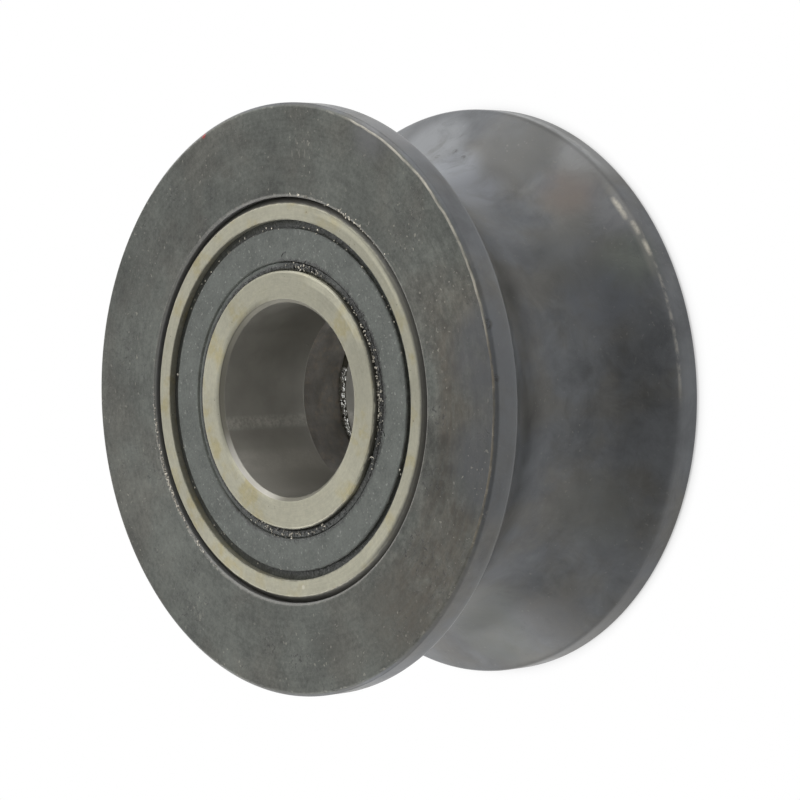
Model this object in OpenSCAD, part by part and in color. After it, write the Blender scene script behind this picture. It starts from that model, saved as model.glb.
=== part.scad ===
// V-groove track wheel with two sealed deep groove ball bearings.
// Millimetres. The axis of rotation is Z, and the origin is the centre of the axle bore.
// Each bearing is modelled about its own centre plane, with +Z towards the wheel's near face.

/* [Wheel] */
// Diameter over the two lands beside the groove
wheel_d = 76; // [62:0.5:110]
// Width of the wheel from face to face
wheel_w = 37; // [34:0.5:60]
// Width of the groove's mouth; what is left of the wheel's width is its two lands
groove_mouth_w = 29.6; // [26.4:0.2:34.4]
// Radius that rounds off the groove's root
groove_root_r = 14; // [8:0.5:16.5]
// Wall left between the groove's root and the bearing seats
root_wall = 3; // [1.5:0.1:8]
// Bevel on the wheel's two outer edges
edge_break = 0.5; // [0.2:0.1:1]
// Bevel on the two edges where the groove meets the lands
mouth_break = 0.4; // [0.2:0.1:1]

/* [Bearing seats] */
// Depth of each bearing below the wheel's face
seat_depth = 0.2; // [0:0.1:1]
// Height of the rib that parts the two bearings, above their seats
rib_step = 3; // [2:0.1:4]
// Lead-in bevel at the mouth of each seat
seat_bevel = 0.25; // [0.1:0.05:0.6]
// Blend in the corner between a seat and the rib
seat_corner = 0.6; // [0.2:0.1:0.8]

/* [Bearing rings] */
// Bore of the inner ring, for the axle
axle_d = 25; // [22:0.5:28]
// Outside diameter of the outer ring
bearing_d = 52; // [47:0.5:58]
// Width of one bearing
bearing_w = 15; // [13.4:0.1:17]
// Bevel on the outer ring's outer corners
outer_ring_bevel = 0.9; // [0.8:0.1:1.2]
// Bevel at each end of the axle bore
bore_bevel = 0.5; // [0.3:0.1:1]
// Bevel on the inner ring's outer corners
inner_ring_bevel = 0.25; // [0.1:0.05:0.5]
// From the circle through the ball centres to the shoulder beside each raceway
shoulder_reach = 2.15; // [1.9:0.05:2.6]
// Step from the outer ring's shoulder out to the mouth where the seal is pressed in
mouth_step = 1.7; // [1.4:0.05:2]
// Step from the inner ring's shoulder in to the land where the seal lip runs
lip_step = 0.5; // [0.2:0.05:0.8]
// Depth of the snap groove beyond the seal's mouth
snap_depth = 0.35; // [0.2:0.05:0.5]

/* [Balls and cage] */
// Balls in each bearing
ball_count = 9; // [6:1:10]
// Diameter of a ball
ball_d = 7.938; // [7:0.001:9]
// How much larger the radius of a raceway is than the ball's
race_ease = 0.16; // [0.08:0.01:0.3]
// Radial play between a ball and each raceway
race_play = 0.05; // [0.03:0.01:0.08]
// Thickness of the pressed cage strip
cage_t = 0.7; // [0.5:0.05:0.8]
// Radial width of the cage strip
cage_w = 2.9; // [2.2:0.1:3.4]
// Play between a ball and its pocket
pocket_play = 0.15; // [0.1:0.05:0.25]
// Diameter of a rivet's shank
rivet_d = 1.2; // [0.9:0.1:1.4]
// Diameter of a rivet's head
rivet_head_d = 2; // [1.6:0.1:2.2]
// Height of a rivet's head
rivet_head_h = 0.5; // [0.3:0.1:0.7]

/* [Seals] */
// Depth of the seal's flat face below the ring's face
seal_sink = 0.4; // [0.2:0.05:0.6]
// Depth of the seal's back below the ring's face
seal_back = 1.8; // [1.6:0.05:2]
// Air between the seal's back and the step behind it
seal_air = 0.1; // [0.05:0.05:0.2]
// Depth of the floor of the channel round the seal, where its bead starts
bead_sink = 0.95; // [0.8:0.05:1.1]
// Width of that channel
channel_w = 1.1; // [0.8:0.05:1.4]
// Width of the lip band at the seal's inner edge
lip_w = 1.2; // [0.9:0.05:1.5]
// Depth of the crease round the lip band, and of the seal's other small steps
crease = 0.15; // [0.08:0.01:0.2]
// Gap between the lip and its land
lip_gap = 0.05; // [0.03:0.01:0.1]
// Thickness of the steel washer behind the rubber
insert_t = 0.5; // [0.3:0.05:0.6]
// Rubber left between the washer's inner edge and the lip band
insert_inset = 0.3; // [0.1:0.05:0.6]
// How far the washer reaches into the bead
insert_reach = 0.5; // [0.2:0.05:0.7]

/* [Spacer ring] */
// Gap between the axle and the bore of the spacer between the two inner rings
spacer_play = 0.25; // [0.1:0.05:0.8]
// Wall of the spacer
spacer_wall = 3.25; // [2:0.05:3.6]
// Bevel on the spacer's edges
spacer_bevel = 0.3; // [0.1:0.1:0.8]

/* [Hidden] */
$fn = 96;

SIDES = ["front", "rear"];
BEARING_PARTS = [
    "outer_ring", "inner_ring", "cage_face_half", "cage_rib_half", "cage_rivets",
    "face_seal", "face_seal_insert", "rib_seal", "rib_seal_insert"
];

wheel_r = wheel_d / 2;
half_w = wheel_w / 2;
seat_r = bearing_d / 2;
rib_w = wheel_w - 2 * (seat_depth + bearing_w);
bearing_z = half_w - seat_depth - bearing_w / 2;

// The groove's root is an arc, and each flank runs from the edge of the mouth to touch that arc
mouth_half_w = groove_mouth_w / 2;
root_centre_r = seat_r + root_wall + groove_root_r;
mouth_to_centre = norm([root_centre_r - wheel_r, mouth_half_w]);
flank_slope = atan2(mouth_half_w, root_centre_r - wheel_r) - acos(groove_root_r / mouth_to_centre);

half_b = bearing_w / 2;
axle_r = axle_d / 2;
pitch_r = (axle_r + seat_r) / 2;          // the balls run midway between bore and outside
race_r = ball_d / 2 + race_ease;
race_reach = ball_d / 2 + race_play;      // from the pitch circle to the bottom of a raceway
outer_race_r = pitch_r + race_reach - race_r;
inner_race_r = pitch_r - race_reach + race_r;
outer_shoulder_r = pitch_r + shoulder_reach;
inner_shoulder_r = pitch_r - shoulder_reach;

mouth_r = outer_shoulder_r + mouth_step;
snap_r = mouth_r + snap_depth;
snap_bevel = snap_depth / 2;              // slope of the snap groove's outward edge
lip_land_r = inner_shoulder_r - lip_step;
lip_r = lip_land_r + lip_gap;
face_r = lip_r + lip_w;                   // inner edge of the seal's flat face
channel_r = mouth_r - channel_w;
seal_pocket = seal_back + seal_air;
insert_front = seal_back - insert_t;
insert_in_r = face_r + insert_inset;
insert_out_r = channel_r + insert_reach;

pocket_r = ball_d / 2 + pocket_play;
cup_r = pocket_r + cage_t;
cage_in_r = pitch_r - cage_w / 2;
cage_out_r = pitch_r + cage_w / 2;
ball_step = 360 / ball_count;

STEEL = [0.75, 0.73, 0.66];
BALL_STEEL = [0.82, 0.83, 0.85];
PRESSED_STEEL = [0.62, 0.62, 0.60];
RUBBER = [0.30, 0.33, 0.32];
BLACK_OXIDE = [0.34, 0.35, 0.34];
RAW_STEEL = [0.30, 0.26, 0.23];

// An outline that is the same at both ends, from the points of its +Z half
function both_ends(half) = concat(half, [for (i = [len(half) - 1:-1:0]) [half[i].x, -half[i].y]]);

// ---- wheel ----

// Section of the groove: two straight flanks that touch one arc at the root
module groove_section() {
    translate([root_centre_r, 0]) circle(r = groove_root_r);
    polygon(both_ends([
        [root_centre_r - groove_root_r * cos(flank_slope), groove_root_r * sin(flank_slope)],
        [wheel_r - mouth_break * sin(flank_slope), mouth_half_w - mouth_break * cos(flank_slope)],
        [wheel_r, mouth_half_w + mouth_break],
        [wheel_r + mouth_break, mouth_half_w + mouth_break]
    ]));
}

module wheel_body() {
    seat_z = rib_w / 2;
    color(BLACK_OXIDE) rotate_extrude() difference() {
        polygon(both_ends([
            [seat_r - rib_step, seat_z],
            [seat_r - seat_corner, seat_z],
            [seat_r, seat_z + seat_corner],
            [seat_r, half_w - seat_bevel],
            [seat_r + seat_bevel, half_w],
            [wheel_r - edge_break, half_w],
            [wheel_r, half_w - edge_break]
        ]));
        groove_section();
    }
}

module spacer_ring() {
    in_r = axle_r + spacer_play;
    out_r = in_r + spacer_wall;
    end_z = rib_w / 2;
    color(RAW_STEEL) rotate_extrude() polygon(both_ends([
        [in_r, end_z - spacer_bevel],
        [in_r + spacer_bevel, end_z],
        [out_r - spacer_bevel, end_z],
        [out_r, end_z - spacer_bevel]
    ]));
}

// ---- bearing, about its own centre plane ----

module outer_ring() {
    color(STEEL) rotate_extrude() difference() {
        polygon(both_ends([
            [outer_shoulder_r, half_b - seal_pocket],
            [snap_r, half_b - seal_pocket],
            [snap_r, half_b - bead_sink - snap_bevel],
            [mouth_r, half_b - bead_sink],
            [mouth_r, half_b],
            [seat_r - outer_ring_bevel, half_b],
            [seat_r, half_b - outer_ring_bevel]
        ]));
        translate([outer_race_r, 0]) circle(r = race_r);
    }
}

module inner_ring() {
    color(STEEL) rotate_extrude() difference() {
        polygon(both_ends([
            [axle_r, half_b - bore_bevel],
            [axle_r + bore_bevel, half_b],
            [lip_land_r - inner_ring_bevel, half_b],
            [lip_land_r, half_b - inner_ring_bevel],
            [lip_land_r, half_b - seal_pocket],
            [inner_shoulder_r, half_b - seal_pocket]
        ]));
        translate([inner_race_r, 0]) circle(r = race_r);
    }
}

module ball(i) {
    color(BALL_STEEL) rotate(ball_step * i) translate([pitch_r, 0, 0]) sphere(d = ball_d);
}

// One half of the riveted ribbon cage: flat webs between cups that wrap the balls
module cage_half() {
    color(PRESSED_STEEL) difference() {
        intersection() {
            difference() {
                cylinder(r = cage_out_r, h = 2 * cup_r);
                cylinder(r = cage_in_r, h = 4 * cup_r, center = true);
            }
            union() {
                cylinder(r = seat_r, h = cage_t);
                at_balls() sphere(r = cup_r);
            }
        }
        at_balls() sphere(r = pocket_r);
        at_webs() cylinder(d = rivet_d, h = 4 * cage_t, center = true);
    }
}

// The rivets that hold the two halves of a cage together
module cage_rivets() {
    shank_r = rivet_d / 2;
    head_r = rivet_head_d / 2;
    brow_r = (shank_r + head_r) / 2;
    top = cage_t + rivet_head_h;
    brow = cage_t + rivet_head_h / 2;
    color(STEEL) at_webs() rotate_extrude() polygon([
        [0, -top], [brow_r, -top], [head_r, -brow], [head_r, -cage_t], [shank_r, -cage_t],
        [shank_r, cage_t], [head_r, cage_t], [head_r, brow], [brow_r, top], [0, top]
    ]);
}

module at_balls() {
    for (i = [1:ball_count]) rotate(ball_step * i) translate([pitch_r, 0, 0]) children();
}

module at_webs() {
    for (i = [1:ball_count]) rotate(ball_step * (i + 0.5)) translate([pitch_r, 0, 0]) children();
}

// Turns a section drawn as [radius, depth below the ring's face] into a ring in place
module below_face() {
    translate([0, 0, half_b]) mirror([0, 0, 1]) rotate_extrude() children();
}

// Rubber seal: bead in the snap groove, flat face, and a lip that runs on the inner ring
module seal() {
    color(RUBBER) below_face() polygon([
        [lip_r, seal_sink + 2 * crease],
        [lip_r + 2 * crease, seal_sink + crease],
        [face_r - 2 * crease, seal_sink + crease],
        [face_r - crease, seal_sink + 2 * crease],
        [face_r, seal_sink],
        [channel_r - crease, seal_sink],
        [channel_r, seal_sink + crease],
        [channel_r, bead_sink],
        [mouth_r, bead_sink],
        [snap_r, bead_sink + snap_bevel],
        [snap_r, seal_back],
        [insert_out_r, seal_back],
        [insert_out_r, insert_front],
        [insert_in_r, insert_front],
        [insert_in_r, seal_back],
        [lip_r + 3 * crease, seal_back],
        [lip_r, insert_front]
    ]);
}

// Steel washer bonded to the back of the rubber
module seal_insert() {
    color(PRESSED_STEEL) below_face() polygon([
        [insert_in_r, insert_front], [insert_out_r, insert_front],
        [insert_out_r, seal_back], [insert_in_r, seal_back]
    ]);
}

// Puts a bearing piece in the named seat; the rear bearing is the front one mirrored
module in_seat(side) {
    mirror([0, 0, side == "front" ? 0 : 1]) translate([0, 0, bearing_z]) children();
}

module flipped() {
    mirror([0, 0, 1]) children();
}

wheel_body();
spacer_ring();
for (side = SIDES) {
    in_seat(side) outer_ring();
    in_seat(side) inner_ring();
    in_seat(side) cage_half();
    in_seat(side) flipped() cage_half();
    in_seat(side) cage_rivets();
    in_seat(side) seal();
    in_seat(side) seal_insert();
    in_seat(side) flipped() seal();
    in_seat(side) flipped() seal_insert();
    for (i = [1:ball_count])
        in_seat(side) ball(i);
}
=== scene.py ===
"""V groove track wheel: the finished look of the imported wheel, its two bearings and its spacer.

Laid out as an add-on. Sizes and colours are properties, each piece has an operator, and the sidebar
lists them all. Lengths are metres in the wheel's own frame: Z is the axis and +Z the near face.
"""
import random
from math import acos, asin, atan2, cos, hypot, pi, radians, sin, tau

import bmesh
import bpy
from bpy.props import FloatProperty, FloatVectorProperty, PointerProperty
from mathutils import Matrix, Vector, noise


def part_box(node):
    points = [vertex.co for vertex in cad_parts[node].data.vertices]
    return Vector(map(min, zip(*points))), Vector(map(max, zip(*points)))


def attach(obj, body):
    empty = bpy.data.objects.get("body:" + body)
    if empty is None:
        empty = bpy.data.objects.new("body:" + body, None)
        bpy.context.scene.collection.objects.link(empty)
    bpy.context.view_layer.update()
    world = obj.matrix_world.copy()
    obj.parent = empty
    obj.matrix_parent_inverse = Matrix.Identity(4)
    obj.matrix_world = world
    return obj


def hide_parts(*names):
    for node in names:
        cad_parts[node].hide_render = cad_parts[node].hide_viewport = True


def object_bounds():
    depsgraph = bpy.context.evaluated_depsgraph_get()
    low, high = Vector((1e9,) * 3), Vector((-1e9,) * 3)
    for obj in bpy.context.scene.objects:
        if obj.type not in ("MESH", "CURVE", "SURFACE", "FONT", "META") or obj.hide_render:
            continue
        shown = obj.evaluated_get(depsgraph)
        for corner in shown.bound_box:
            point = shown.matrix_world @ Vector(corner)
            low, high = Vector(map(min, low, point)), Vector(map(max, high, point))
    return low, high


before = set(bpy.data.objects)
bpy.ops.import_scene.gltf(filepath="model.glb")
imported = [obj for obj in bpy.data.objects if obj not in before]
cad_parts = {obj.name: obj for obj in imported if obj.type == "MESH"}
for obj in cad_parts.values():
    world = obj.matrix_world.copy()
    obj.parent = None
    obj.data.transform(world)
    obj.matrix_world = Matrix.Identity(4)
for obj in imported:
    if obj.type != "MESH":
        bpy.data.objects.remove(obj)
cad_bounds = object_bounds()

bl_info = {
    "name": "V groove wheel",
    "version": (1, 0, 0),
    "blender": (4, 5, 0),
    "location": "View3D > Sidebar > Wheel",
    "description": "Dresses the packed V groove wheel and its bearings",
    "category": "Object",
}

MM = 0.001
SIDES = ("front", "rear")
WHEEL_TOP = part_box("wheel_body")[1]
RING_LOW, RING_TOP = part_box("front_outer_ring")
SPACER_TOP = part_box("spacer_ring")[1]


def length(name, default, description):
    """A size in metres that a user may change."""
    return FloatProperty(
        name=name, description=description, default=default, min=0, unit="LENGTH", precision=5
    )


def colour(name, default, description):
    """A finish's colour, as linear red, green and blue."""
    return FloatVectorProperty(
        name=name, description=description, default=default, min=0, max=1, size=3, subtype="COLOR"
    )


# ---- sizes and colours ----


class WheelSizes(bpy.types.PropertyGroup):
    """Sizes of the turned wheel body."""

    radius: length("Radius", WHEEL_TOP[0], "Radius over the lands")
    half_width: length("Half width", WHEEL_TOP[2], "Half the width from face to face")
    mouth_half: length("Half mouth", 14.8 * MM, "Half the width of the groove's mouth")
    root_radius: length("Root radius", 14 * MM, "Radius that rounds off the groove's root")
    root_wall: length("Root wall", 3 * MM, "Wall between the groove's root and the bearing seats")
    edge_break: length("Edge break", 0.5 * MM, "Bevel on the two outer edges")
    mouth_break: length("Mouth break", 0.4 * MM, "Bevel where the groove meets a land")
    seat_bevel: length("Seat bevel", 0.25 * MM, "Lead-in bevel at the mouth of each seat")
    seat_corner: length("Seat corner", 0.6 * MM, "Blend between a seat and the rib")
    rib_step: length("Rib step", 3 * MM, "Height of the rib above the bearing seats")
    softening: length("Softening", 0.1 * MM, "Radius that years of handling leave on each edge")


class BearingSizes(bpy.types.PropertyGroup):
    """Sizes of one sealed ball bearing."""

    bore: length("Bore radius", 12.5 * MM, "Radius of the axle bore")
    outside: length("Outside radius", RING_TOP[0], "Radius of the outer ring")
    half_width: length("Half width", (RING_TOP[2] - RING_LOW[2]) / 2, "Half the ring's width")
    centre: length("Centre", (RING_TOP[2] + RING_LOW[2]) / 2, "Height of the bearing's mid plane")
    outer_bevel: length("Outer bevel", 0.9 * MM, "Bevel on the outer ring's outer corners")
    bore_bevel: length("Bore bevel", 0.5 * MM, "Bevel at each end of the axle bore")
    inner_bevel: length("Inner ring bevel", 0.25 * MM, "Bevel on the inner ring's outer corners")
    shoulder: length("Shoulder reach", 2.15 * MM, "From the ball circle to either shoulder")
    mouth_step: length("Mouth step", 1.7 * MM, "From the outer shoulder out to the seal's mouth")
    lip_step: length("Lip step", 0.5 * MM, "From the inner shoulder in to the seal's land")
    snap: length("Snap depth", 0.35 * MM, "Depth of the snap groove beyond the mouth")
    ball: length("Ball radius", 3.969 * MM, "Radius of a ball")
    race_ease: length("Race ease", 0.16 * MM, "How much larger the raceway's radius is")
    race_play: length("Race play", 0.05 * MM, "Play between a ball and a raceway")
    pocket: length("Seal pocket", 1.9 * MM, "Depth of the step behind the seal")
    softening: length("Softening", 0.07 * MM, "Radius left on the rings' edges by tumbling")


class SealSizes(bpy.types.PropertyGroup):
    """Sizes of one rubber seal, as depths below the ring's face."""

    sink: length("Sink", 0.4 * MM, "Depth of the seal's flat face")
    back: length("Back", 1.8 * MM, "Depth of the seal's back")
    bead: length("Bead", 0.95 * MM, "Depth of the floor of the channel round the seal")
    channel: length("Channel", 1.1 * MM, "Width of that channel")
    lip: length("Lip", 1.2 * MM, "Width of the lip band")
    crease: length("Crease", 0.15 * MM, "Depth of the crease round the lip band")
    gap: length("Gap", 0.05 * MM, "Gap between the lip and its land")
    insert: length("Washer", 0.5 * MM, "Thickness of the steel washer behind the rubber")
    inset: length("Inset", 0.3 * MM, "Rubber between the washer and the lip band")
    reach: length("Reach", 0.5 * MM, "How far the washer reaches into the bead")
    softening: length("Softening", 0.05 * MM, "Radius on the moulded edges")


class SpacerSizes(bpy.types.PropertyGroup):
    """Sizes of the sawn tube between the two inner rings."""

    outside: length("Outside radius", SPACER_TOP[0], "Radius of the spacer's outside")
    half_width: length("Half width", SPACER_TOP[2], "Half the spacer's length")
    wall: length("Wall", 3.25 * MM, "Wall of the tube")
    bevel: length("Bevel", 0.3 * MM, "Bevel on its edges")
    roughness: length("Roughness", 0.09 * MM, "Height of the scale on its walls")


class Colours(bpy.types.PropertyGroup):
    """Base colours of the finishes."""

    face: colour("Faces", (0.128, 0.136, 0.121), "Black oxide on the turned faces")
    face_warm: colour("Faces, warm", (0.124, 0.125, 0.109), "Browner oxide on the faces")
    groove: colour("Groove", (0.108, 0.114, 0.121), "Black oxide in the groove")
    groove_warm: colour("Groove, warm", (0.108, 0.106, 0.098), "Browner oxide in the groove")
    rust: colour("Rust tint", (0.094, 0.081, 0.063), "Thin brown bloom on the oxide")
    soot: colour("Dark stain", (0.055, 0.054, 0.051), "Oily stain in the groove and in pits")
    worn: colour("Worn steel", (0.50, 0.47, 0.40), "Bare steel where edges are rubbed")
    burr: colour("Torn burr", (0.88, 0.88, 0.84), "Fresh steel of the spacer's torn edge")
    tan: colour("Tan edge", (0.27, 0.235, 0.18), "Tan edge where the oxide is thin")
    ring: colour("Ring steel", (0.47, 0.455, 0.355), "Ground bearing steel under old oil")
    stain: colour("Oil stain", (0.43, 0.375, 0.20), "Yellow oil stain on the rings")
    bore: colour("Bore steel", (0.43, 0.42, 0.39), "Honed steel of the axle bore")
    rubber: colour("Rubber", (0.138, 0.150, 0.136), "Dusty seal rubber")
    # the spacer's two colours are painted lighter than its scale, as painted light in the dark bore
    spacer: colour("Spacer", (0.42, 0.405, 0.39), "Scale on the spacer")
    spacer_rust: colour("Spacer rust", (0.53, 0.48, 0.43), "Rust on the spacer")
    grease: colour("Grease", (0.030, 0.030, 0.028), "Old grease in the seal's creases")
    # painted highlight on the top of the far land
    far_land_highlight: colour("Brushed land", (0.42, 0.43, 0.43), "Brushed steel on the far land")
    # painted light on the seat's wall above the bearings, which lies in shade
    seat_wall_light: colour("Seat dust", (0.27, 0.265, 0.25), "Grey dust on the seat above the bearings")
    # painted shade in the outer ring's bevel
    bevel_shade: colour("Bevel dust", (0.095, 0.093, 0.088), "Dark dust in the outer ring's bevel")
    rubber_dust: colour("Rubber dust", (0.4, 0.4, 0.37), "Pale dust and smudges on the seals")
    nick: colour("Nicks", (0.12, 0.10, 0.07), "Small rusty nicks in the rings")
    scar: colour("Scar", (0.75, 0.73, 0.65), "A fresh bright scar on the outer ring")
    # painted shade on the bevel at the mouth of the axle bore
    lead_in: colour("Lead-in", (0.20, 0.19, 0.15), "Oily bevel at the mouth of the axle bore")
    # painted highlight on that bevel towards 140 degrees
    bevel_highlight: colour("Rubbed bevel", (0.52, 0.50, 0.45), "The same bevel where it is rubbed")
    paint: colour("Paint fleck", (0.42, 0.03, 0.03), "A fleck of red paint")


class StageSizes(bpy.types.PropertyGroup):
    """Where the camera stands, and how bright the room is."""

    elevation: FloatProperty(
        name="Elevation", description="How steeply the camera looks down",
        default=radians(43.78), subtype="ANGLE",
    )
    azimuth: FloatProperty(
        name="Azimuth", description="Which side of the wheel the camera stands on",
        default=radians(-89.86), subtype="ANGLE",
    )
    roll: FloatProperty(
        name="Roll", description="Turn of the camera about its own line of sight",
        default=radians(-92.99), subtype="ANGLE",
    )
    distance: length("Distance", 403.6 * MM, "From the camera to the point it looks at")
    aim: FloatVectorProperty(
        name="Aim", description="The point that the camera looks at",
        default=(-0.73 * MM, -2.13 * MM, 0), size=3, subtype="TRANSLATION",
    )
    lens: FloatProperty(
        name="Lens", description="Focal length in millimetres", default=138.0, unit="CAMERA"
    )
    floor: length("Floor", 6.0, "Side of the floor")
    room: FloatProperty(name="Room", description="Strength of the room's light", default=1.85)


GROUPS = {
    "wheel": WheelSizes, "bearing": BearingSizes, "seal": SealSizes,
    "spacer": SpacerSizes, "colours": Colours, "stage": StageSizes,
}
# faces round a turned piece, and the angle between the points of a round stretch of an outline
STEPS = 288
ARC_STEP = radians(3)
# points that are closer than this are one
SAME_POINT = 1e-7
# a softened corner gets a point on each side, this many times its softening away,
# where the wall is longer than the second number of times
SUPPORT = 2.5
SUPPORT_ROOM = 6
# faces that meet at a sharper angle than this keep a hard edge
CREASE_ANGLE = radians(40)


# ---- turned shapes ----


def both_ends(half):
    """The outline of a ring that is the same at both ends, from the corners of its +Z half."""
    return half + [(r, -z, soft) for r, z, soft in reversed(half) if z > 0]


def arc(centre_r, radius, start, end):
    """Points along a round stretch of an outline, from one angle to the other."""
    count = max(2, round(abs(end - start) / ARC_STEP))
    angles = [start + (end - start) * i / count for i in range(count + 1)]
    return [(centre_r + radius * cos(a), abs(radius * sin(a)), 0) for a in angles]


def with_supports(corners):
    """Adds a point on both sides of each softened corner, so that flat walls stay flat."""
    points = []
    neighbours = zip(corners[-1:] + corners[:-1], corners, corners[1:] + corners[:1])
    for before, (r, z, soft), after in neighbours:
        here = Vector((r, z))
        for other in (before, after):
            leg = Vector(other[:2]) - here
            if soft and leg.length > SUPPORT_ROOM * soft:
                points.append((here + leg.normalized() * SUPPORT * soft, 0))
            if other is before:
                points.append((here, soft))
    return points


def turn(corners):
    """Turns an outline of (radius, height, softening) corners about Z and softens its edges."""
    outline = with_supports(corners)
    bm = bmesh.new()
    verts = [bm.verts.new((p.x, 0, p.y)) for p, _ in outline]
    edges = [bm.edges.new(pair) for pair in zip(verts, verts[1:] + verts[:1])]
    bmesh.ops.spin(
        bm, geom=verts + edges, cent=(0, 0, 0), axis=(0, 0, 1), angle=tau, steps=STEPS, use_merge=True
    )
    bmesh.ops.remove_doubles(bm, verts=bm.verts, dist=SAME_POINT)
    for radius in {soft for _, soft in outline if soft}:
        soften(bm, {whereabouts(*place) for place, soft in outline if soft == radius}, radius)
    bmesh.ops.recalc_face_normals(bm, faces=bm.faces)
    return bm


def whereabouts(radius, height):
    """A place on the outline, to the nearest hundredth of a millimetre."""
    return round(radius / MM, 2), round(height / MM, 2)


def soften(bm, places, radius):
    """Rounds the circular edges that run through some corners of the outline."""
    where = {v: whereabouts(v.co.xy.length, v.co.z) for v in bm.verts}
    ends = [(e, where[e.verts[0]], where[e.verts[1]]) for e in bm.edges]
    edges = [e for e, start, end in ends if start == end and start in places]
    bmesh.ops.bevel(
        bm, geom=edges, affect="EDGES", offset=radius, offset_type="OFFSET",
        segments=3, profile=0.5, material=-1, clamp_overlap=True,
    )


def lift(bm, height):
    """Moves a turned piece along the axle."""
    bmesh.ops.translate(bm, verts=bm.verts, vec=(0, 0, height))


def turn_over(bm):
    """Turns a piece end for end."""
    bmesh.ops.rotate(bm, verts=bm.verts, cent=(0, 0, 0), matrix=Matrix.Rotation(pi, 3, "X"))


def make_object(bm, name, material):
    """Makes a mesh object from a bmesh."""
    mesh = bpy.data.meshes.new(name)
    bm.to_mesh(mesh)
    bm.free()
    mesh.materials.append(material)
    made = bpy.data.objects.new(name, mesh)
    bpy.context.scene.collection.objects.link(made)
    return made


def add_piece(bm, name, material, body, node=None):
    """Makes a piece that rides on a CAD body and may stand for a CAD node."""
    piece = make_object(bm, name, material)
    piece.data.shade_smooth()
    piece.data.set_sharp_from_angle(angle=CREASE_ANGLE)
    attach(piece, body)
    if node:
        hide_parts(node)


# ---- finishes ----

# sockets of a Mix node: its share, its two numbers, its two colours and the colour that it gives
MIX_SHARE, MIX_OFF, MIX_ON, MIX_UNDER, MIX_OVER = 0, 2, 3, 6, 7
MIX_COLOUR = 2


def bare(value):
    """The socket behind a pattern, or the value itself."""
    return value.socket if isinstance(value, Pattern) else value


class Pattern:
    """A share or tone that varies over a surface. Patterns add and multiply as numbers do.

    The larger of two patterns is a | b.
    """

    def __init__(self, wiring, socket):
        self.wiring = wiring
        self.socket = socket

    def __add__(self, other):
        return self.wiring.maths("ADD", self, other)

    def __sub__(self, other):
        return self.wiring.maths("SUBTRACT", self, other)

    def __mul__(self, other):
        return self.wiring.maths("MULTIPLY", self, other)

    def __truediv__(self, other):
        return self.wiring.maths("DIVIDE", self, other)

    def __or__(self, other):
        return self.wiring.maths("MAXIMUM", self, other)

    def __abs__(self):
        return self.wiring.maths("ABSOLUTE", self)

    def span(self, low, high, to_low=0.0, to_high=1.0):
        """Maps a stretch of the pattern smoothly to another stretch."""
        inputs = {"Value": self, "From Min": low, "From Max": high, "To Min": to_low, "To Max": to_high}
        return self.wiring.pattern("ShaderNodeMapRange", 0, inputs, interpolation_type="SMOOTHSTEP")

    def sway(self, amount, low=0.3, high=0.7):
        """Swings from minus to plus an amount as the pattern goes from low to high."""
        return self.span(low, high, -amount, amount)

    def band(self, centre, half, fade):
        """1 inside a band of the pattern, fading to 0 past its two ends."""
        return abs(self - centre).span(half, half + fade, 1.0, 0.0)

    def choose(self, off, on):
        """One value where this share is 0 and another where it is 1."""
        return self.wiring.pattern("ShaderNodeMix", 0, {MIX_SHARE: self, MIX_OFF: off, MIX_ON: on})


class Wiring:
    """The nodes of one material or of the world."""

    def __init__(self, tree):
        self.tree = tree

    def node(self, kind, inputs=None, **settings):
        """Adds a node. Its inputs are patterns, sockets or plain values."""
        made = self.tree.nodes.new(kind)
        for key, value in settings.items():
            setattr(made, key, value)
        for key, value in (inputs or {}).items():
            value = bare(value)
            if isinstance(value, bpy.types.NodeSocket):
                self.tree.links.new(value, made.inputs[key])
            else:
                made.inputs[key].default_value = value
        return made

    def pattern(self, kind, output, inputs=None, **settings):
        """Adds a node and takes one of its outputs as a pattern."""
        return Pattern(self, self.node(kind, inputs, **settings).outputs[output])

    def maths(self, operation, a, b=0.0):
        """One step of arithmetic."""
        return self.pattern("ShaderNodeMath", 0, {0: a, 1: b}, operation=operation)

    def vector(self, operation, output, inputs):
        """One step of vector arithmetic."""
        return self.pattern("ShaderNodeVectorMath", output, inputs, operation=operation)


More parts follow.
